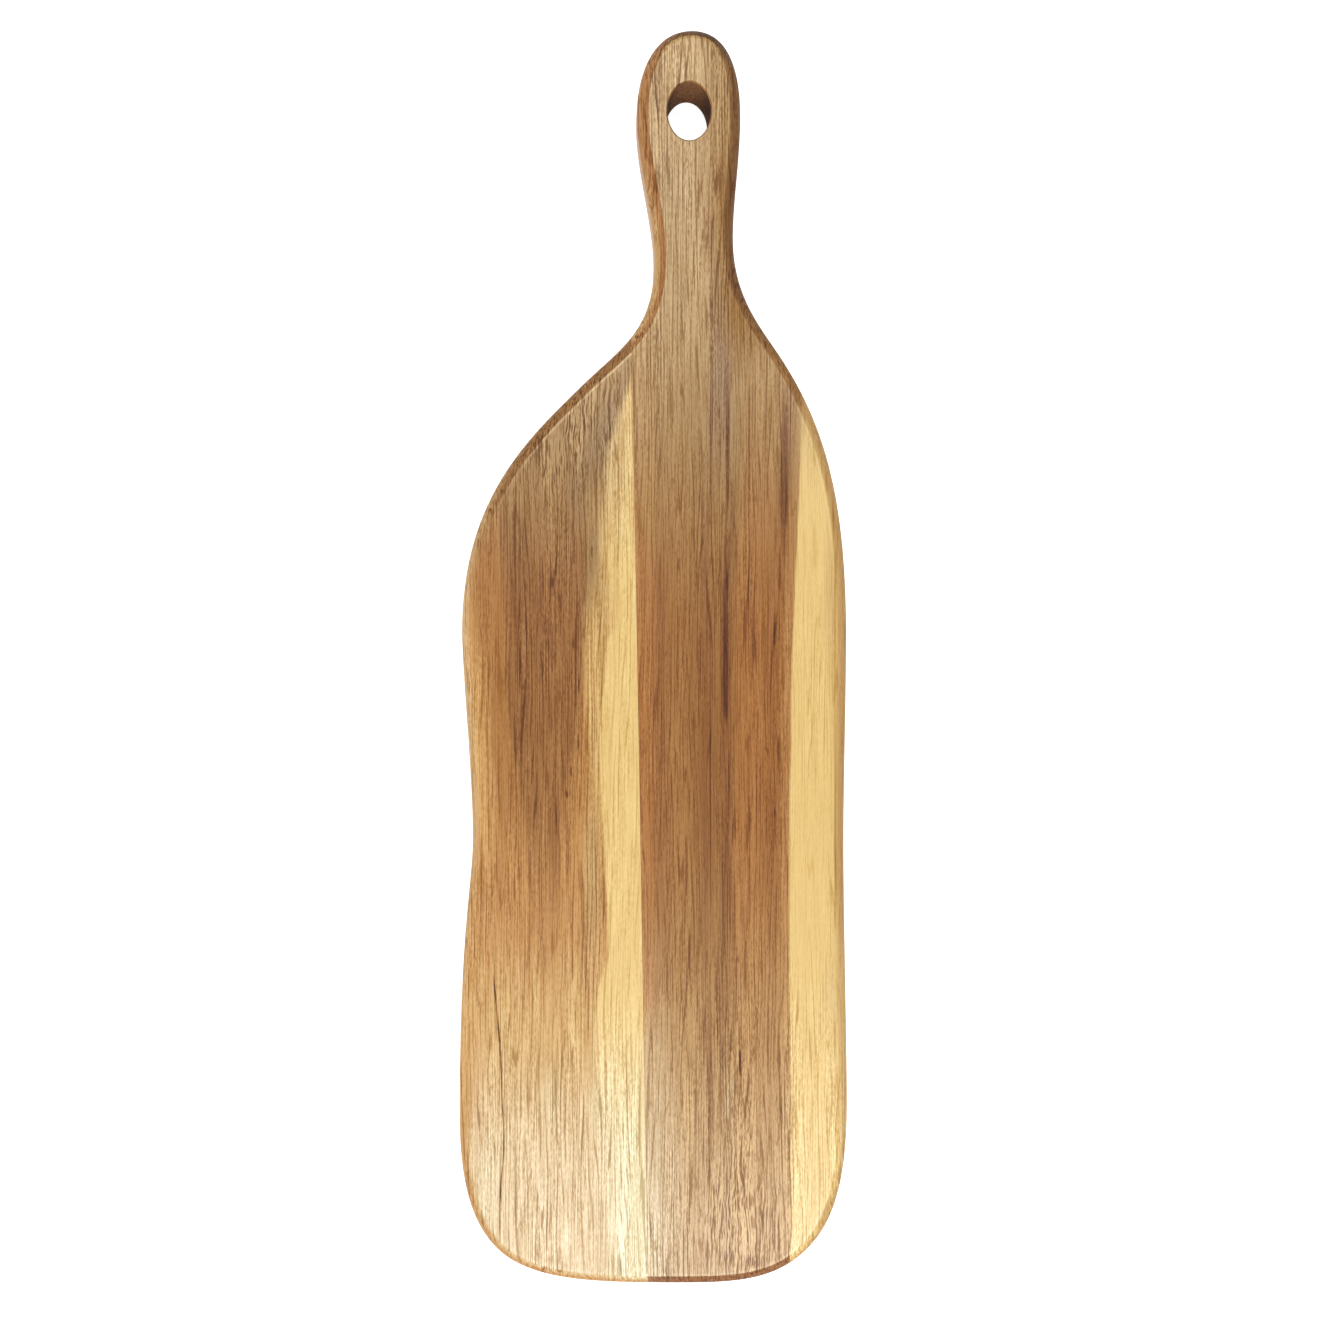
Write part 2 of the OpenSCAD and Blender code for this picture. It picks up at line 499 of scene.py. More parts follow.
# The next mask places a painted highlight, a thin light line where the flat turns into the rim
HIGHLIGHT_LEVEL = (0.9999, 0.998)
SOFT_RIM_LEVEL = (0.9985, 0.86)
SHOULDER_RIM_LEVEL = (0.9995, 0.94)
TIP_RIM_LEVEL = (0.968, 0.93)
FOOT_RIM_LEVEL = (0.9997, 0.966)
CORNER_RIM_LEVEL = (0.9995, 0.8, 0, 0.85)
OUTER_LEVEL = (0.94, 0.8)
STEEP_LEVEL = (0.85, 0.3)
WALL_LEVEL = (0.6, 0.3)
# How far a place faces along the board, to the right, outward on the right, and to the foot inside the hole
END_FACING = (0.1, 0.5)
RIGHT_FACING = (-0.45, 0.45)
OUTWARD_FACING = (0.1, 0.5)
# Inside the hole, facing the foot sets in the painted light
HOLE_LIT_FACING = (-0.2, -0.9)

# Oil finish: palest and darkest shade of the grain, and the roughness and coat at each
SHADE_SPREAD = (-0.3, 0.4)
SATIN = (0.36, 0.5)
COAT = (1.0, 0.3)
# Roughness that dull places and the hole add, and how much of its coat a steep left rim keeps
DULL_ROUGHNESS = 0.25
HOLE_ROUGHNESS = 0.35
LEFT_RIM_GLOSS = 0.35
# Specular level, roughness and index of the coat, and strength and depth of the grain's relief
SPECULAR = 0.4
COAT_ROUGHNESS = 0.34
COAT_IOR = 1.6
RELIEF = 0.3
RELIEF_DEPTH = 0.1 * MM

# Across each plank at mid-length: distance from the board's middle, and tone
HANDLE_BANDS = [
    (-10, RUST), (-1.5, RUST), (1.7, TAWNY), (4.2, TAWNY), (7, HAZEL), (11.5, HAZEL), (17, DUN),
    (20.6, UMBER), (22.6, DUN), (25.6, DUN), (27.2, UMBER), (30, UMBER), (31.2, DUN), (33, COPPER),
    (42, COPPER), (44.8, RUSSET), (49.3, RUSSET), (51.8, OCHRE), (56, OCHRE),
]
LEFT_BANDS = [
    (-78, EDGE_TAN), (-69.5, EDGE_TAN), (-64, AMBER), (-58, AMBER), (-54, HONEY), (-29, HONEY),
    (-25.5, GOLD), (-10, GOLD),
]
# Changes of tone along the board: start, end, how ragged in mm, share, and tone
HANDLE_CHANGES = [
    (0, 110, 0, 0.65, UPPER_TAN), (80, 150, 0, 0.85, HANDLE_GOLD), (-50, -210, 0, 0.66, FOOT_GOLD),
]
LEFT_CHANGES = [
    (-45, -95, 40, 0.9, LOW_HONEY), (-100, -152, 60, 1.0, GOLD), (-145, -205, 0, 0.85, WHEAT),
]
# Half width of the left plank's dark heart: distance along the board, and half width
HEART_WIDTH = [
    (-135, -3), (-110, 3), (-90, 6), (-70, 8), (-50, 10.5), (-17, 14.6), (7, 15.6), (46, 17.5), (90, 18),
]
HEART_MIDDLE = -43.2
# Where the heartwood ends: distance along the board, and across
HANDLE_SAP_LINE = [
    (-250, 54), (-175, 54.6), (-130, 53.8), (-30, 54.4), (20, 55.6), (56, 57.2), (72, 58), (101, 59),
]
LEFT_SAP_LINE = [
    (-250, -17), (-200, -17), (-172, -21), (-160, -21.5), (-150, -22.5), (-138, -22.5), (-125, -19.7),
    (-110, -18.3), (-90, -18.9), (-65, -20.0), (-45, -20.9), (-25, -21.1), (-10, -19.4), (5, -18.6),
    (15, -15.7), (30, -16.4), (46, -20), (58, -19.4), (68, -18.6), (78, -18), (90, -15.5),
    (107, -10.3), (120, -6.5),
]
# How wide the left sapwood's edge is: distance along the board, and width
LEFT_SAP_FEATHER = [
    (-250, 15), (-185, 13), (-160, 6), (-110, 1.8), (0, 1.6), (20, 4), (45, 6), (70, 3.5), (125, 3),
]
# Dark streaks: distance across, foot end, handle end, half width, depth
HANDLE_STREAKS = [
    (29.7, -77, -25, 0.4, 0.45), (22.4, -128, 24, 0.38, 0.6), (18.5, -23, 12, 0.4, 0.35),
    (37.5, -9, 46, 0.4, 0.45), (37.8, -116, -69, 0.5, 0.45), (45.3, -13, 46, 0.35, 0.4),
    (48.0, 2, 18.5, 0.35, 0.85), (48.0, -64, -60, 0.35, 0.85), (50.0, 21, 46, 0.7, 0.4),
    (27.2, -124, -69, 0.32, 0.5), (29.1, -124, -75, 0.32, 0.5), (31.8, -124, -80, 1.0, 0.25),
    (6.5, -35, -27, 0.3, 0.5), (3.2, -29, -13, 0.35, 0.35), (34.2, -168, -154, 0.7, 0.85),
    (50.0, -165, -154, 0.4, 0.5), (27.0, -192, -182, 0.35, 0.5), (50.5, -183, -173, 0.4, 0.45),
    (23.2, 116, 196, 1.6, 0.22), (22.7, 38, 132, 0.8, 0.4), (29.4, 46, 132, 1.2, 0.42),
    (37.8, 38, 130, 0.6, 0.38), (29.8, 94, 130, 2.0, 0.2), (51.8, 30, 114, 2.5, 0.48),
    (68.4, 62, 76, 0.5, 0.35), (71.3, 40, 68, 0.7, 0.35), (22.3, -226, -116, 1.1, 0.46),
    (27, -190, -100, 5.0, 0.1), (65.1, -172, -154, 0.35, 0.3), (72.6, -176, -160, 0.4, 0.35),
]
# Streaks with sharp sides, in the same order
HANDLE_BARS = [(28.5, -29, 37, 1.05, 0.5), (71.9, -112, 48, 0.55, 0.35)]
# Dark streaks of the left plank, in the same order
LEFT_STREAKS = [
    (-53.1, -18, 11, 0.5, 0.8), (-52.6, -44, -10, 0.35, 0.45), (-29.7, -16, -6, 0.4, 0.85),
    (-30.0, -39, -29, 0.4, 0.85), (-32.8, -49, -42, 0.45, 0.8), (-34.5, -57, -52, 0.5, 0.85),
    (-42.0, -54, -44, 0.5, 0.4), (-37.6, -97, -72, 0.35, 0.5), (-38.7, -70, -54, 0.4, 0.45),
    (-65.3, -125, -116, 0.4, 0.5), (-36.6, -167, -134, 0.4, 0.5), (-39.6, -182, -173, 0.5, 0.35),
    (-24.5, 38, 45, 0.45, 0.5), (-27.6, 19, 29, 0.4, 0.5), (-32.0, 1, 11, 0.4, 0.45),
    (-9.4, -2, 46, 0.3, 0.3), (-15.0, -16, 2, 0.3, 0.3), (-13.0, -74, -62, 0.35, 0.3),
]
# The long crack of the left plank, painted as a dark line of shade: distance along the board, and across
CRACK_PATH = [
    (-232, -60.9), (-210, -60.6), (-193, -59.4), (-176, -60.0), (-160, -60.6), (-140, -62.2), (-126, -63.6),
]
# Soft patches of another tone: middle across and along, half sizes, turn in degrees, tone, share
HANDLE_PATCHES = [
    ((-4, -250), (22, 162), 0, FOOT_PALE, 0.95),
    ((53.5, 90), (5, 40), 0, RIM_OCHRE, 0.65),
    ((47, 123), (5, 26), 32, HANDLE_BROWN, 0.6),
    ((26.5, 110), (6.5, 56), 0, MAUVE, 0.68),
    ((6.5, 180), (5, 34), 0, UPPER_TAN, 0.55),
    ((9, 141), (9, 26), 0, UPPER_TAN, 0.4),
    ((43, 52), (7, 40), 0, COPPER, 0.35),
    ((32.5, 145), (4, 11), 20, RIM_OCHRE, 0.9),
    ((38, 136), (4, 11), 30, RIM_OCHRE, 0.75),
    ((44, 127), (4, 11), 32, RIM_OCHRE, 0.7),
    ((13, 237), (15, 18), 0, WEDGE_TAN, 0.65),
    ((-2, 62), (6, 28), 0, HANDLE_GOLD, 0.5),
    ((-2, -131), (5, 24), 0, RUST, 0.55),
    ((30, -176), (5, 16), 0, FOOT_PALE, 0.25),
]
SAP_PATCHES = [
    ((79, -238), (24, 44), -35, SAP_TAN, 0.7),
    ((68, -220), (2.5, 8), -25, SAP_TAN, 0.7),
    ((79, -150), (11, 70), 0, SAP_TAN, 0.5),
    ((70, 22), (4, 40), 0, SAP_TAN, 0.3),
    ((71, -134), (7, 20), 0, SAP_TAN, 0.28),
]
LEFT_PATCHES = [
    ((-67, 24), (13, 42), 0, COPPER, 0.75),
    ((-71, -97), (8, 26), 0, AMBER, 0.5),
    ((-71, -178), (9, 26), 0, LOW_HONEY, 0.35),
    ((-76, -156), (12, 62), 0, EDGE_TAN, 0.7),
    ((-24.5, -90), (6.5, 48), 0, OLIVE, 0.75),
    ((-20, 88), (10, 38), -22, DARK_SMOKE, 0.8),
    ((-24, 40), (6, 38), -6, DARK_SMOKE, 0.65),
    ((-30, 62), (7, 18), 0, DARK_SMOKE, 0.4),
    ((-21, -176), (6, 22), 0, PALE_SAP, 0.4),
    ((-41, -176), (6, 20), 0, PALE_SAP, 0.22),
    ((-21, 20), (4.5, 20), 0, OLIVE, 0.5),
    ((-42, 20), (10, 22), 0, UMBER, 0.6),
    ((-34.5, -229), (3, 9), 0, PALE_SAP, 0.6),
    ((-5, -244), (6, 14), 0, ROSE, 0.8),
    ((-67, -212), (10, 55), 0, PALE_SAP, 0.25),
]
# Curly figure: middle across and along, half sizes, turn in degrees
SHOULDER_FIGURE = ((-30, 87), (23, 42), -42)
FOOT_FIGURE = ((33, -224), (27, 40), 0)

# Spans along or across a plank over which something sets in: start, end, then least and most if not 0 and 1

# Handle plank: bands that go with the sapwood's border, and the handle's brown right edge
FOLLOW_ACROSS = (10, 50)
EDGE_SHIFT = (150, 175, -3, 0)
EDGE_ACROSS = (15, 29)
EDGE_FOOT_END = (108, 138)
EDGE_TIP_END = (165, 235, 1.0, 0.62)
EDGE_SHARE = 0.95
EDGE_DULL = 0.9
# Its sapwood: usual place of the border, fibres that fray it and how far, its width, smoky top and tan side
SAP_USUAL = 54.5
SAP_FRAY = (1.2, 30.0, 1.2)
SAP_EDGE = (-0.8, 0.6)
SAP_SMOKY = (60, 100, 0, 0.4)
SAP_TAN_ACROSS = (68, 74)
SAP_TAN_ALONG = (-140, -90, 0, 0.45)
# Its rims: where their kinds lie and their tones set in, their share, and the strength of cut fibre ends
TIP_SPAN = (232, 244)
FOOT_SPAN = (-232, -246)
SHOULDER_SPAN = (20, 60)
CORNER_SPAN = (-190, -225)
CRISP_SPAN = (-130, -70, 0, 0.5)
# Painted sheen: where the outer left rims turn pale
PALE_RIM_SPAN = (215, 150, 0.2, 0.9)
# Right-facing rims, painted shade: where their brown turns to russet
RUSSET_SPAN = (150, 110)
# The tip's right side: painted shade with its dark end grain
TIP_SHADE_ALONG = (232, 247)
TIP_SHADE_ACROSS = (8, 18, 0.55, 0.95)
FOOT_RIM_SPAN = (-225, -245)
SAP_RIM_SPAN = (-90, -140)
HANDLE_RIM_SHARE = 0.9
HANDLE_MOTTLE = 1.5
# Its grain: fine strength, what the foot adds, coarse strength, what sapwood takes off, and the painted
# highlight line
HANDLE_FINE = (95, 150, 1.1, 1.8)
FOOT_FINE = (-110, -170, 0, 0.7)
HANDLE_COARSE = 0.9
SAP_FINE = 0.75
SAP_COARSE = 0.5
HANDLE_HIGHLIGHT = 0.1
# The hole: margin at its sides and its ends in mm, the core of its oval, and the strength of cut fibre ends
HOLE_MARGIN = (1.4, 1.5)
HOLE_CORE = 0.9
HOLE_MOTTLE = 1.7

# Left plank: lean of its bands, the streaks that fray its tones, and its smoky shoulder
LEFT_LEAN = (-80, 50, -3.0, 3.0)
STREAKY = (3.0, 160.0)
SMOKE_SPAN = (18, 85, 0, 0.85)
# Its dark heart: how streaky it is at the sides and the foot, softness along and across, and its foot end
HEART_STREAKS = 5.0
HEART_FOOT_STREAKS = 140.0
HEART_SOFT_ALONG = (-20, -80, 0.8, 3.0)
HEART_SOFT_ACROSS = (-48, -36, 0.0, 2.2)
HEART_FOOT_END = (-110, -50, 0.2, 1.0)
# Its sapwood: fibres that fray the border and how far, the pale foot, and the tan tip of its wedge
LEFT_FRAY = (1.4, 90.0, 1.6)
PALE_SAP_SPAN = (-130, -220, 0, 0.9)
WEDGE_ALONG = (25, 80)
WEDGE_ACROSS = (-9, -15, 0.25, 0.9)
# Its crack's painted shade: edge and core in mm, length of one opening, how far it opens over the noise,
# and its ends
CRACK_EDGE = (0.55, 0.12)
CRACK_LENGTH = 14.0
CRACK_OPENS = (0.35, 0.6, 0.55, 1.0)
CRACK_FOOT_END = (-234, -224)
CRACK_TOP_END = (-124, -132)
# Its rims: shoulder and corner, where ochre sets in and how much later outside, walls pale with painted
# sheen, and shares
LEFT_SHOULDER = (20, 80)
LEFT_CORNER = (-160, -205)
OCHRE_SPAN = (0, 75)
# The outer part keeps its paler tan longer, as painted light
OCHRE_LAG = 25.0
PALE_WALL_SPAN = (40, 115, 0, 0.75)
LEFT_RIM_SHARE = (-100, -40, 0.5, 0.88)
CORNER_SHARE_ACROSS = (-40, -60, 0.42, 0.44)
LEFT_MOTTLE = 0.8
SHOULDER_MOTTLE = 1.2
# Its grain: low end, sapwood and calmer sides, strengths and what those take off, and the painted highlight
# line
LOW_SPAN = (-40, -95)
PALE_SPAN = (-200, -120)
CALM_SPAN = (75, 30)
LEFT_FINE = 1.95
CALM_FINE = 0.75
PALE_FINE = 0.62
LEFT_COARSE = 0.75
LOW_COARSE = 0.5
PALE_COARSE = 0.1
LEFT_HIGHLIGHT = (55, 110, 0, 0.8)


class Wood(Shader):
    """A plank's shader with the board's coordinates: x across, y along the fibres, z up, in mm."""

    def __init__(self, name, seed, top):
        super().__init__(name)
        self.seed = seed
        place = self.add("TexCoord", {}, out="Object")
        place = self.add("VectorMath", {0: place, 1: (1 / MM,) * 3}, operation="MULTIPLY")
        self.x, self.y, self.z = self.parts(place)
        place = self.join(self.y * (1 / DRIFT_LENGTH), self.x * DRIFT_TURN, seed)
        drift = self.noise(place, detail=1) - 0.5
        self.u = self.x + drift * BAND_DRIFT + (self.z - top) * RING_LEAN
        self.track = self.x + drift * TRACK_DRIFT
        self.bent = self.u + self.bends(WANDER, seed + WANDER_SEED)
        self.facing = self.parts(self.add("NewGeometry", {}, out="Normal"))
        self.level = abs(self.facing[2])
        # Masks: worn rim, its painted highlight line, a wider rim, its outer part, steep parts, walls,
        # ends, right sides
        self.rim = self.ease(self.level, *RIM_LEVEL)
        self.rim_highlight = self.ease(self.level, *HIGHLIGHT_LEVEL) - self.rim
        self.soft_rim = self.ease(self.level, *SOFT_RIM_LEVEL)
        self.outer = self.ease(self.level, *OUTER_LEVEL)
        self.steep = self.ease(self.level, *STEEP_LEVEL)
        self.wall = self.ease(self.level, *WALL_LEVEL)
        self.end = self.ease(abs(self.facing[1]), *END_FACING)
        self.right = self.ease(self.facing[0], *RIGHT_FACING)

    def along(self, span):
        """Sets in over a span along the board."""
        return self.ease(self.y, *span)

    def across(self, span):
        """Sets in over a span across the board."""
        return self.ease(self.x, *span)

    def bends(self, bend, seed):
        """How far lines sway to and fro, from the width, length and reach of one bend."""
        width, length, reach = bend
        place = self.join(self.x * (1 / width), self.y * (1 / length), seed)
        return (self.noise(place, 1) - 0.5) * reach

    def curl(self, middle, half, turn):
        """Bends the grain to and fro within a soft oval, and gives the oval."""
        spot = self.spot(middle, half, turn, 1.0, CURL_CORE)
        self.bent = self.bent + self.bends(CURL, self.seed + CURL_SEED) * spot
        return spot

    def drawn_out(self, width, length):
        """Place for a texture whose swells have that width and length along the fibres."""
        return self.join(self.bent * (1 / width), self.y * (1 / length), self.z * (1 / width) + self.seed)

    def fibre(self, width, length, detail=2.0):
        """Cloudy noise drawn out along the fibres."""
        return self.noise(self.drawn_out(width, length), detail, FIBRE_ROUGHNESS)

    def rings(self, spacing, length):
        """Thin lines along the fibres, about evenly spaced, that come and go."""
        sway_width, sway_reach = RING_SWAY
        sway = self.noise(self.drawn_out(spacing * sway_width, length), 1) * sway_reach
        near = self.math("PINGPONG", self.bent * (1 / spacing) + sway, 0.5)
        break_width, break_length = RING_BREAK
        comes = self.fibre(spacing * break_width, length * break_length)
        return self.ease(near, *RING_EDGE) * self.ease(comes, *RING_COMES)

    def pores(self, width, length):
        """Short lines along the fibres, 1 at their cores, one in each cell of that width and length."""
        place = self.drawn_out(width, length)
        reach = self.add("TexVoronoi", {"Vector": place, "Scale": 1.0}, out="Distance")
        return self.ease(reach, *PORE_EDGE)

    def mottle(self):
        """Short cut fibres, as on the rims and in the hole, about zero."""
        width, length, detail, roughness = MOTTLE
        place = self.join(self.x * (1 / width), self.y * (1 / length), self.z * (1 / width) + self.seed)
        return self.noise(place, detail, roughness) - 0.5

    def spot(self, middle, half, turn, depth, core):
        """A soft oval of that depth, which is full within the core."""
        place = self.join(self.track, self.y, 0.0)
        feeds = {"Vector": place, "Location": (*middle, 0), "Scale": (*half, 1)}
        feeds["Rotation"] = (0, 0, math.radians(turn))
        own = self.add("Mapping", feeds, vector_type="TEXTURE")
        reach = self.add("VectorMath", {0: own}, out="Value", operation="LENGTH")
        return self.ease(reach, 1.0, core, 0.0, depth)

    def bar(self, across, foot, top, half, depth):
        """A streak with sharp sides and soft ends."""
        side = self.ease(abs(self.track - across), half, half * BAR_CORE, 0.0, depth)
        return side * self.along((foot, foot + BAR_END)) * self.along((top, top - BAR_END))

    def streaks(self, table, bars=()):
        """Depth of all the dark streaks of a table of tapered ones and a table of bars."""
        total = 0.0
        for across, foot, top, half, depth in table:
            spot = self.spot((across, (foot + top) / 2), (half, (top - foot) / 2), 0, depth, STREAK_CORE)
            total = self.math("MAXIMUM", spot, total)
        for row in bars:
            total = self.math("MAXIMUM", self.bar(*row), total)
        return total

    def changes(self, base, table, streaky=0.0):
        """The base colour with a table's tones setting in along the board, ragged where it is streaky."""
        for start, end, ragged, share, tone in table:
            place = self.y + streaky * ragged
            base = self.mix(self.ease(place, start, end, 0.0, share), base, tone)
        return base

    def patches(self, base, table):
        """The base colour with the soft patches of a table laid over it."""
        for middle, half, turn, tone, share in table:
            base = self.mix(self.spot(middle, half, turn, share, PATCH_CORE), base, tone)
        return base

    def shaded(self, base, depth, takes):
        """The base colour darker by that depth, or lighter where it is below zero."""
        for operation, change in (("DIVIDE", depth), ("MULTIPLY", depth * -LIGHTENING)):
            change = self.math("MAXIMUM", change, 0.0)
            factor = self.add("VectorMath", {0: change, 1: takes, 2: (1, 1, 1)}, operation="MULTIPLY_ADD")
            base = self.add("VectorMath", {0: base, 1: factor}, operation=operation)
        return base

    def streaked(self, base, depth):
        """The base colour with dark streaks of that depth, redder and blacker the deeper they are."""
        base = self.add("Gamma", {0: base, 1: depth * STREAK_STAIN + 1.0})
        return self.mix(depth * depth * STREAK_BLACK, base, STREAK)


def grain(wood, fine, coarse, curl):
    """Depth of the grain's shade about zero, from its fine and coarse strength and where it is curly."""
    least_noise, most_noise = NOISE_SPREAD
    width, length, depth = FIBRE_GRAIN
    shade = (wood.ease(wood.fibre(width, length), most_noise, least_noise) - 0.5) * depth
    width, length, depth = FLECK_GRAIN
    shade = (0.5 - wood.fibre(width, length)) * depth + shade
    width, length, depth = PORE_GRAIN
    shade = (wood.pores(width, length) - PORE_COVER) * curl * depth + shade
    width, length, depth = RING_GRAIN
    shade = (wood.rings(width, length) - LINE_COVER) * depth + shade
    width, length, depth = LINE_GRAIN
    thin = wood.ease(abs(wood.fibre(width, length, 1.0) - 0.5), *LINE_EDGE)
    shade = (thin - LINE_COVER) * depth + shade
    shade = shade * fine
    width, length, depth = BROAD_GRAIN
    shade = (0.5 - wood.fibre(width, length)) * coarse * depth + shade
    width, length, least, most = GRAIN_CHANGE
    change = wood.ease(wood.fibre(width, length), least_noise, most_noise, least, most)
    return shade * change * (1.0 - wood.steep * WALL_CALM)


def mottled(wood, base, strength):
    """The base colour with cut fibre ends along the rims that run across the grain."""
    depth = wood.mottle() * wood.rim * wood.end * (1.0 - wood.wall * WALL_CALM)
    return wood.shaded(base, depth * strength, RIM_TAKES)


def finish_wood(wood, base, shade, dull, inside=0.0):
    """Colour, gloss and relief of the oiled surface, which is without its coat where dull is 1."""
    rim = wood.rim - wood.steep * (1.0 - wood.right) * LEFT_RIM_GLOSS
    dull = wood.math("MAXIMUM", dull, rim)
    rough = wood.ease(shade, *SHADE_SPREAD, *SATIN) + dull * DULL_ROUGHNESS + inside * HOLE_ROUGHNESS
    feeds = {"Strength": RELIEF, "Distance": RELIEF_DEPTH, "Height": shade * -1.0}
    wood.surface("Base Color", base)
    wood.surface("Roughness", rough)
    wood.surface("Specular IOR Level", SPECULAR)
    wood.surface("Coat Weight", wood.ease(shade, *SHADE_SPREAD, *COAT) * (1.0 - dull))
    wood.surface("Coat Roughness", COAT_ROUGHNESS)
    wood.surface("Coat IOR", COAT_IOR)
    wood.surface("Normal", wood.add("Bump", feeds))
    return wood.material


def handle_edge(wood):
    """Share of the handle's browner right edge."""
    side = wood.ease(wood.x + wood.along(EDGE_SHIFT), *EDGE_ACROSS)
    return side * wood.along(EDGE_FOOT_END) * wood.along(EDGE_TIP_END)


def handle_tones(wood, edge):
    """Heartwood of the handle plank, browner along the handle's right edge."""
    base = wood.changes(wood.bands(wood.u, HANDLE_BANDS), HANDLE_CHANGES)
    base = wood.mix(edge * EDGE_SHARE, base, HANDLE_BROWN)
    return wood.patches(base, HANDLE_PATCHES)


def handle_sapwood(wood, sap_line):
    """Share and tone of the handle plank's sapwood, smoky at its top and tan toward the side."""
    width, length, sway = SAP_FRAY
    sap = wood.ease(wood.x - sap_line + (wood.fibre(width, length) - 0.5) * sway, *SAP_EDGE)
    tone = wood.mix(wood.along(SAP_SMOKY), SAP, SMOKE)
    tone = wood.mix(wood.across(SAP_TAN_ACROSS) * wood.along(SAP_TAN_ALONG), tone, SAP_TAN)
    return sap, wood.patches(tone, SAP_PATCHES)


def handle_rim_share(wood, sap):
    """Where the handle plank has its rim's tone, partly painted shade: wide on the right, narrow at the tip
    and the foot.
    """
    outward = wood.ease(wood.facing[0], *OUTWARD_FACING)
    soft = wood.math("MAXIMUM", outward, sap) - sap * wood.along(CRISP_SPAN)
    rim = wood.blend(wood.rim, wood.soft_rim, soft)
    rim = wood.blend(rim, wood.ease(wood.level, *SHOULDER_RIM_LEVEL), outward * wood.along(SHOULDER_SPAN))
    rim = wood.blend(rim, wood.ease(wood.level, *TIP_RIM_LEVEL), wood.along(TIP_SPAN))
    rim = wood.blend(rim, wood.ease(wood.level, *FOOT_RIM_LEVEL), wood.along(FOOT_SPAN) * (1.0 - sap))
    return wood.blend(rim, wood.ease(wood.level, *CORNER_RIM_LEVEL), wood.along(CORNER_SPAN) * sap)


def handle_rim_tone(wood, sap):
    """Tone of the handle plank's rims, with painted shade to the right and at the tip and painted sheen
    outside on the left.
    """
    # Painted sheen: the outer part of left-facing rims turns pale
    left = wood.mix(wood.outer * wood.along(PALE_RIM_SPAN), RIM_RUST, SHEEN_RIM_PALE)
    # Painted shade: right-facing rims take darker browns than left-facing ones
    right = wood.mix(wood.along(RUSSET_SPAN), SHADED_RIM_BROWN, SHADED_RIM_RUSSET)
    heart = wood.mix(wood.right, left, right)
    # Painted shade with dark end grain on the tip's right side
    heart = wood.mix(wood.along(TIP_SHADE_ALONG) * wood.across(TIP_SHADE_ACROSS), heart, TIP_SHADE_BROWN)
    heart = wood.mix(wood.along(FOOT_RIM_SPAN), heart, FOOT_RIM)
    pale = wood.mix(wood.along(SAP_RIM_SPAN), SAP_TAN, SAP_RIM)
    pale = wood.mix(wood.along(CORNER_SPAN), pale, SAP_TAN)
    return wood.mix(sap, heart, pale)


def hole_wall(wood):
    """Where the surface is the hole's wall."""
    centre, *half = hanging_hole()
    half = [size / MM + margin for size, margin in zip(half, HOLE_MARGIN)]
    return wood.spot(tuple(centre / MM), half, 0, 1.0, HOLE_CORE) * wood.wall


def hole_tones_and_shade(wood, base, inside):
    """The hole's wall, brown end grain with painted shade deep at its sides and painted light where it
    faces the foot.
    """
    tone = wood.mix(wood.ease(wood.facing[1], *HOLE_LIT_FACING), HOLE_SHADE_BROWN, HOLE_LIT_BROWN)
    return wood.mix(inside, base, wood.shaded(tone, wood.mottle() * HOLE_MOTTLE, RIM_TAKES))


def handle_wood(top):
    wood = Wood("handle_wood_oiled", HANDLE_SEED, top)
    sap_line = wood.line(wood.y, HANDLE_SAP_LINE)
    wood.u = wood.u - (sap_line - SAP_USUAL) * wood.across(FOLLOW_ACROSS)
    edge = handle_edge(wood)
    sap, sap_tone = handle_sapwood(wood, sap_line)
    base = wood.mix(sap, handle_tones(wood, edge), sap_tone)
    rim = handle_rim_share(wood, sap) * HANDLE_RIM_SHARE
    base = mottled(wood, wood.mix(rim, base, handle_rim_tone(wood, sap)), HANDLE_MOTTLE)
    inside = hole_wall(wood)
    base = hole_tones_and_shade(wood, base, inside)
    curl = wood.curl(*FOOT_FIGURE)
    fine = wood.along(HANDLE_FINE) + wood.along(FOOT_FINE) - sap * SAP_FINE
    # Painted highlight: the grain's shade is lightened along the rims' inner edge
    shade = grain(wood, fine, HANDLE_COARSE - sap * SAP_COARSE, curl) - wood.rim_highlight * HANDLE_HIGHLIGHT
    depth = wood.streaks(HANDLE_STREAKS, HANDLE_BARS)
    base = wood.streaked(wood.shaded(base, shade, LINE_TAKES), depth)
    dull = wood.math("MAXIMUM", wood.math("MAXIMUM", depth, edge * EDGE_DULL), inside)
    return finish_wood(wood, base, shade, dull, inside)


def left_heart(wood, streaky):
    """Share of the left plank's dark heart, crisp on its left and soft on its right and toward the foot."""
    reach = abs(wood.track - HEART_MIDDLE) - wood.line(wood.y, HEART_WIDTH) + streaky * HEART_STREAKS
    soft = wood.along(HEART_SOFT_ALONG) + wood.across(HEART_SOFT_ACROSS)
    foot = wood.ease(wood.y + streaky * HEART_FOOT_STREAKS, *HEART_FOOT_END)
    return wood.ease(reach, soft, soft * -1.0) * foot


def left_tones(wood):
    """Heartwood of the left plank, and the share of its dark heart."""
    base = wood.bands(wood.u + wood.along(LEFT_LEAN), LEFT_BANDS)
    streaky = wood.fibre(*STREAKY) - 0.5
    base = wood.changes(base, LEFT_CHANGES, streaky)
    heart = left_heart(wood, streaky)
    base = wood.mix(heart, base, BROWN)
    base = wood.mix(wood.along(SMOKE_SPAN), base, SMOKE)
    return wood.patches(base, LEFT_PATCHES), heart


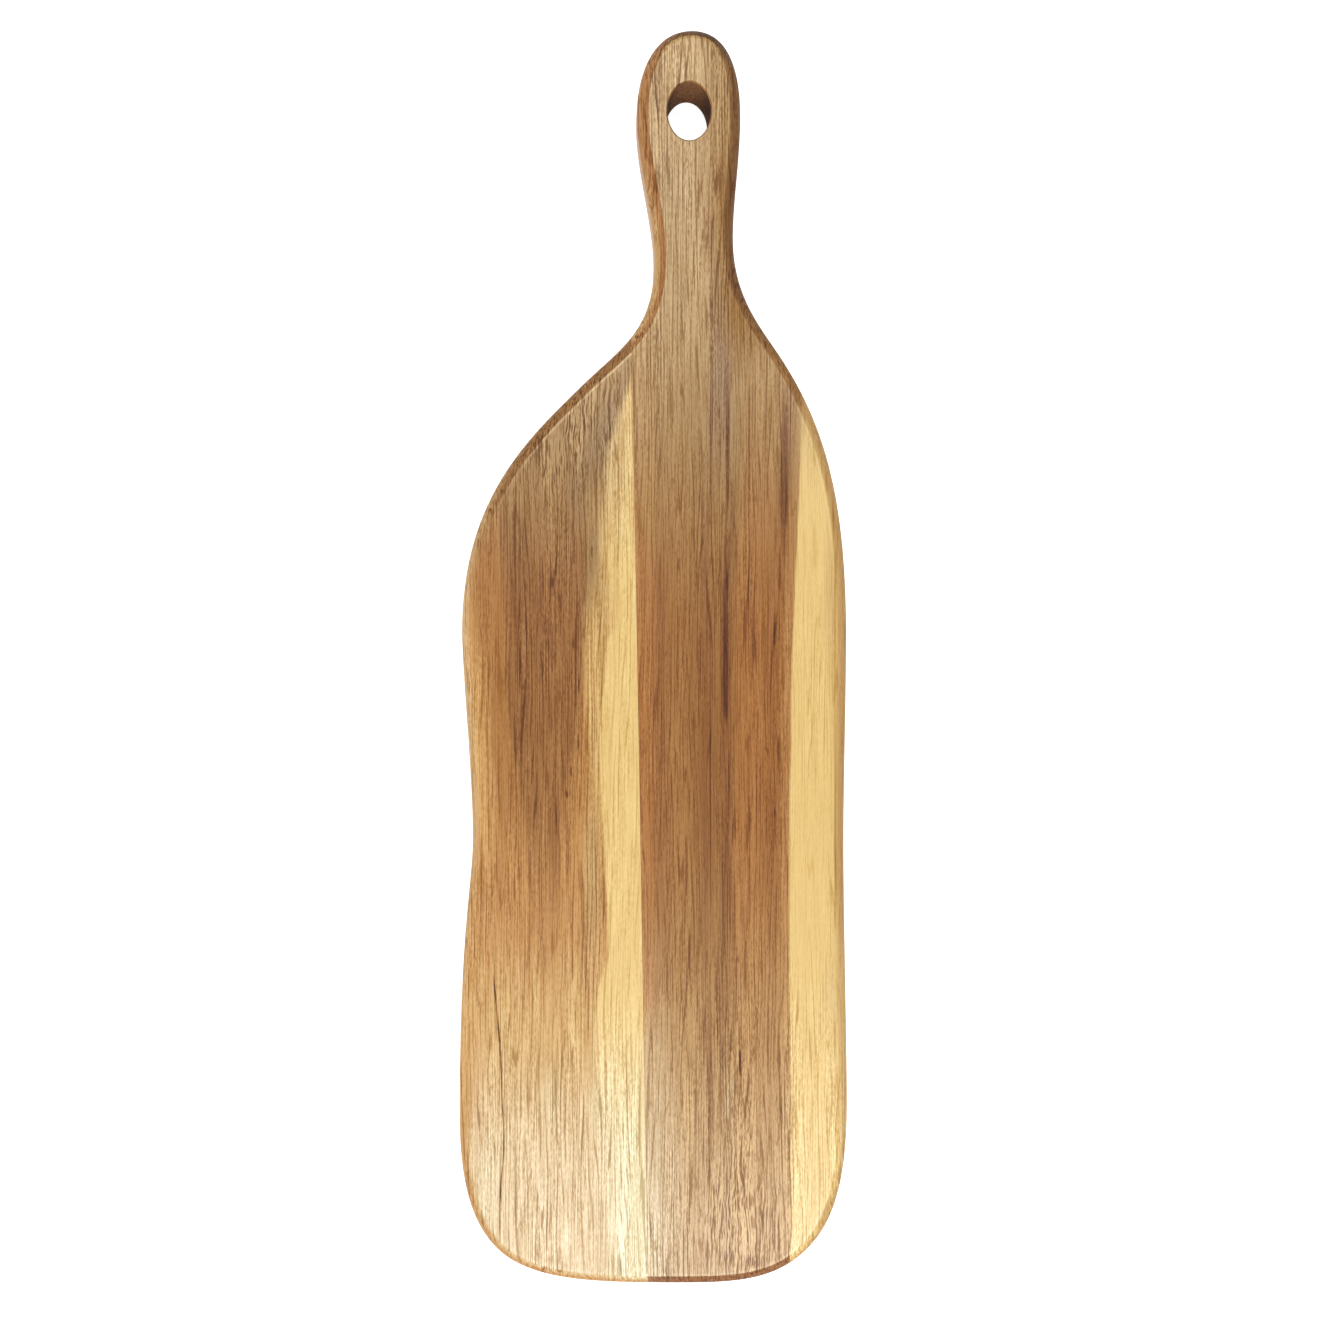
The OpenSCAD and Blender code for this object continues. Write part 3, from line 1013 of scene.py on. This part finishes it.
def left_sapwood(wood):
    """Share and tone of the left plank's sapwood, paler at the foot and tan at the tip of its wedge."""
    feather = wood.line(wood.y, LEFT_SAP_FEATHER)
    width, length, sway = LEFT_FRAY
    fray = (wood.fibre(width, length) - 0.5) * feather * sway
    edge = wood.x - wood.line(wood.y, LEFT_SAP_LINE) + fray
    sap = wood.ease(edge, feather * -0.5, feather * 0.5)
    tone = wood.mix(wood.along(PALE_SAP_SPAN), SAP, PALE_SAP)
    return sap, wood.mix(wood.along(WEDGE_ALONG) * wood.across(WEDGE_ACROSS), tone, WEDGE_TAN)


def left_crack_shade(wood):
    """Depth of the long crack's painted shade, which comes and goes."""
    reach = abs(wood.x - wood.line(wood.y, CRACK_PATH))
    place = wood.join(wood.y * (1 / CRACK_LENGTH), 0.0, wood.seed)
    opened = wood.ease(wood.noise(place), *CRACK_OPENS)
    return wood.ease(reach, *CRACK_EDGE) * opened * wood.along(CRACK_FOOT_END) * wood.along(CRACK_TOP_END)


def left_rims(wood, base):
    """The base colour with the left plank's rims, brown at the shoulder and golden at the corner, with
    painted sheen outside.
    """
    shoulder, corner = wood.along(LEFT_SHOULDER), wood.along(LEFT_CORNER)
    # Painted light: the outer part keeps the paler tan further up than the inner
    tone = wood.mix(wood.ease(wood.y - wood.outer * OCHRE_LAG, *OCHRE_SPAN), RIM_TAN, RIM_OCHRE)
    tone = wood.mix(corner, tone, RIM_GOLD)
    # Painted sheen: pale walls along the shoulder
    tone = wood.mix(wood.wall * wood.along(PALE_WALL_SPAN), tone, SHEEN_RIM_PALE)
    share = wood.along(LEFT_RIM_SHARE) + corner * wood.across(CORNER_SHARE_ACROSS)
    rim = wood.blend(wood.soft_rim, wood.rim, shoulder)
    return mottled(wood, wood.mix(rim * share, base, tone), shoulder * SHOULDER_MOTTLE + LEFT_MOTTLE)


def left_wood(top):
    wood = Wood("left_wood_oiled", LEFT_SEED, top)
    base, heart = left_tones(wood)
    sap, sap_tone = left_sapwood(wood)
    base = left_rims(wood, wood.mix(sap, base, sap_tone))
    curl = wood.curl(*SHOULDER_FIGURE)
    low, pale = wood.along(LOW_SPAN), sap * wood.along(PALE_SPAN)
    calm = wood.math("MAXIMUM", low, (1.0 - heart) * wood.along(CALM_SPAN))
    fine = LEFT_FINE - calm * CALM_FINE - pale * PALE_FINE
    coarse = LEFT_COARSE - low * LOW_COARSE - pale * PALE_COARSE
    # Painted highlight: the grain's shade is lightened along the shoulder rim's inner edge
    shade = grain(wood, fine, coarse, curl) - wood.rim_highlight * wood.along(LEFT_HIGHLIGHT)
    depth = wood.math("MAXIMUM", wood.streaks(LEFT_STREAKS), left_crack_shade(wood))
    base = wood.streaked(wood.shaded(base, shade, LINE_TAKES), depth)
    return finish_wood(wood, base, shade, depth)


def cured_glue():
    glue = Shader("cured_glue_amber")
    place = glue.add("TexCoord", {}, out="Object")
    place = glue.add("VectorMath", {0: place, 1: GLUE_CLOUDS}, operation="MULTIPLY")
    cloud = glue.noise(place, 3)
    glue.surface("Base Color", glue.mix(cloud, GLUE_DARK, GLUE_PALE))
    glue.surface("Roughness", glue.ease(cloud, 0, 1, *GLUE_ROUGHNESS))
    return glue.material


# Stage, light and camera

WHITE = (1, 1, 1, 1)
# Camera: place, lens and sensor in mm, the picture's side in pixels, sideways shift, nearest distance
CAMERA_PLACE = (-0.02208, -0.0013, 0.4068)
CAMERA_LENS = 26.97
CAMERA_SENSOR = 36
PICTURE_SIDE = 1320
CAMERA_SHIFT = 62 / PICTURE_SIDE
CAMERA_NEAR = 0.01
# Softboxes: name, place, aim, size and strength
SOFTBOXES = [
    ("foot_softbox", (0, -0.95, 0.8), (0, -0.2, 0), (1.2, 0.6), 11.2),
    ("handle_softbox", (0, 0.59, 0.82), (0, 0.1, 0), (1.2, 0.58), 4.9),
]
# Surround: two heights and its light at them, then its left and right ends and the factors there
SKY_FALL = (0.1, 0.9, 0.75, 0.1)
SKY_SIDES = (-1, 1, 1.4, 0.6)
# Floor: size, drop under the board, paint, and how much it glows
FLOOR_SIZE = 6
FLOOR_DROP = 0.1 * MM
FLOOR_PAINT = (0.9, 0.9, 0.9, 1)
FLOOR_LIFT = 0.85


def add_camera():
    data = bpy.data.cameras.new("camera")
    data.lens = CAMERA_LENS
    data.sensor_width = CAMERA_SENSOR
    data.shift_x = CAMERA_SHIFT
    data.clip_start = CAMERA_NEAR
    camera = bpy.data.objects.new("camera", data)
    camera.location = CAMERA_PLACE
    bpy.context.scene.collection.objects.link(camera)
    bpy.context.scene.camera = camera


def add_softbox(name, place, aim, size, strength):
    data = bpy.data.lights.new(name, "AREA")
    data.shape = "RECTANGLE"
    data.size, data.size_y = size
    data.energy = strength
    lamp = bpy.data.objects.new(name, data)
    lamp.location = place
    lamp.rotation_euler = (Vector(aim) - Vector(place)).to_track_quat("-Z", "Y").to_euler()
    bpy.context.scene.collection.objects.link(lamp)


def add_world():
    """A dim surround, brighter low down and to the left, that shows white to the camera."""
    world = bpy.data.worlds.new("world")
    bpy.context.scene.world = world
    world.use_nodes = True
    sky = Nodes(world.node_tree)
    way = sky.parts(sky.add("TexCoord", {}, out="Generated"))
    strength = sky.ramp(way[2], *SKY_FALL) * sky.ramp(way[0], *SKY_SIDES)
    light = sky.add("Background", {"Color": WHITE, "Strength": strength})
    white = sky.add("Background", {"Color": WHITE, "Strength": 1.0})
    seen = sky.add("LightPath", {}, out="Is Camera Ray")
    shown = sky.add("MixShader", {0: seen, 1: light, 2: white})
    sky.feed(sky.tree.nodes["World Output"].inputs["Surface"], shown)


def floor_material():
    """White paint that glows where it is seen, so that it shows white and still takes the shadow."""
    floor = Shader("floor_white")
    floor.surface("Base Color", FLOOR_PAINT)
    floor.surface("Roughness", 1.0)
    floor.surface("Specular IOR Level", 0.0)
    floor.surface("Emission Color", WHITE)
    rays = ("Is Camera Ray", "Is Glossy Ray", "Is Transmission Ray")
    camera, glossy, clear = [floor.add("LightPath", {}, out=ray) for ray in rays]
    seen = floor.math("MAXIMUM", floor.math("MAXIMUM", camera, glossy), clear)
    floor.surface("Emission Strength", seen * FLOOR_LIFT)
    return floor.material


def add_floor():
    mesh = bmesh.new()
    bmesh.ops.create_grid(mesh, x_segments=1, y_segments=1, size=FLOOR_SIZE)
    data = bpy.data.meshes.new("floor")
    mesh.to_mesh(data)
    mesh.free()
    data.materials.append(floor_material())
    floor = bpy.data.objects.new("floor", data)
    floor.location.z = -FLOOR_DROP
    bpy.context.scene.collection.objects.link(floor)


def build():
    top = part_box(HANDLE)[1].z
    blank = board_blank(top)
    left_plane, right_plane = joint_planes()
    add_piece(LEFT, blank, [(left_plane, 1)], left_wood(top / MM))
    add_piece(HANDLE, blank, [(right_plane, -1)], handle_wood(top / MM))
    add_piece(GLUE, blank, [(left_plane, -1), (right_plane, 1)], cured_glue())
    blank.free()
    add_floor()
    add_world()
    for row in SOFTBOXES:
        add_softbox(*row)
    add_camera()
    bpy.context.scene.view_settings.view_transform = "Standard"


build()
